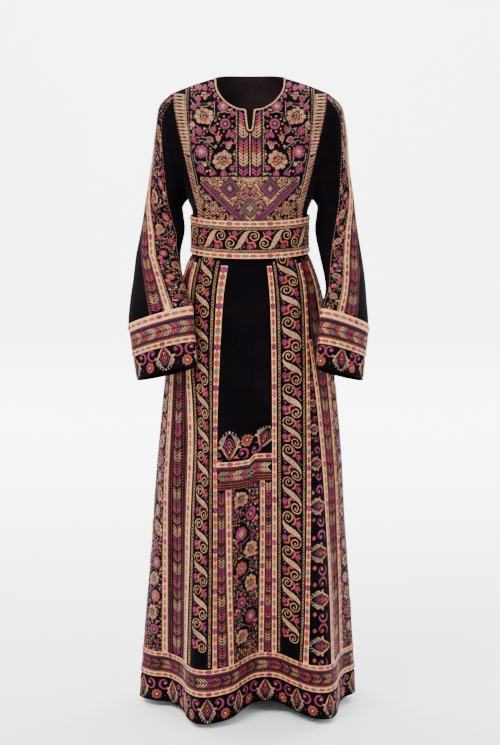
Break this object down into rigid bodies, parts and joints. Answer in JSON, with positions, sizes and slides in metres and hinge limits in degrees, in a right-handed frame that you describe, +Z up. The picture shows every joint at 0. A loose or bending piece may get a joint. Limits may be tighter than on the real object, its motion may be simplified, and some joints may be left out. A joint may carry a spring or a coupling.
{
  "type": "palestinian thobe dress with belt",
  "caption": "Long dark velvet thobe dress, filled out as worn, with embroidered chest, sleeves, skirt strips and hem border, woven tapes and its own wide belt.",
  "frame": {"origin": "midway between the shoulders, where the wearer carries the dress, 1.400 m above the lowest point of the hem", "axes": "+Z up from the hem to the neck, the front faces -Y, +X is the viewer's right"},
  "size_m": [0.5375, 0.3919, 1.4318],
  "materials": {
    "plain_velvet": "matt pile velvet",
    "embroidered_velvet": "dark velvet thickly covered with couched and cross-stitched embroidery",
    "embroidered_border": "plum and black velvet with couched motifs and chevrons",
    "belt_cloth": "stiff dark belt covered with scroll embroidery",
    "woven_tape": "cream woven tape with coloured dashes",
    "neck_piping": "gold couched cord"
  },
  "bodies": {
    "root": {"belt": "belt_cloth", "bodice_back": "plain_velvet", "bodice_side_left": "plain_velvet", "bodice_side_right": "plain_velvet", "chest_panel": "embroidered_velvet", "cuff_left": "embroidered_border", "cuff_right": "embroidered_border", "hem_border_back": "embroidered_border", "hem_border_front": "embroidered_border", "neck_piping": "neck_piping", "skirt_back_left": "plain_velvet", "skirt_back_right": "plain_velvet", "skirt_front_band": "embroidered_velvet", "skirt_front_lower": "embroidered_velvet", "skirt_front_velvet": "plain_velvet", "skirt_scroll_left": "embroidered_velvet", "skirt_scroll_right": "embroidered_velvet", "skirt_side_left": "embroidered_velvet", "skirt_side_right": "embroidered_velvet", "skirt_wedge_right": "plain_velvet", "sleeve_panel_left": "embroidered_velvet", "sleeve_panel_right": "embroidered_velvet", "sleeve_velvet_left": "plain_velvet", "sleeve_velvet_right": "plain_velvet", "tape_band_bottom": "woven_tape", "tape_band_top": "woven_tape", "tape_belt_bottom": "woven_tape", "tape_belt_top": "woven_tape", "tape_cuff_lower_left": "woven_tape", "tape_cuff_lower_right": "woven_tape", "tape_cuff_top_left": "woven_tape", "tape_cuff_top_right": "woven_tape", "tape_hem_lower": "woven_tape", "tape_hem_top": "woven_tape", "tape_inner_left": "woven_tape", "tape_inner_right": "woven_tape", "tape_mid_left": "woven_tape", "tape_mid_right": "woven_tape", "tape_outer_left": "woven_tape", "tape_outer_right": "woven_tape", "tape_side_left": "woven_tape", "tape_side_right": "woven_tape", "tape_sleeve_left": "woven_tape", "tape_sleeve_right": "woven_tape", "tape_wedge_right": "woven_tape", "waist_panel": "embroidered_velvet"}
  },
  "joints": []
}
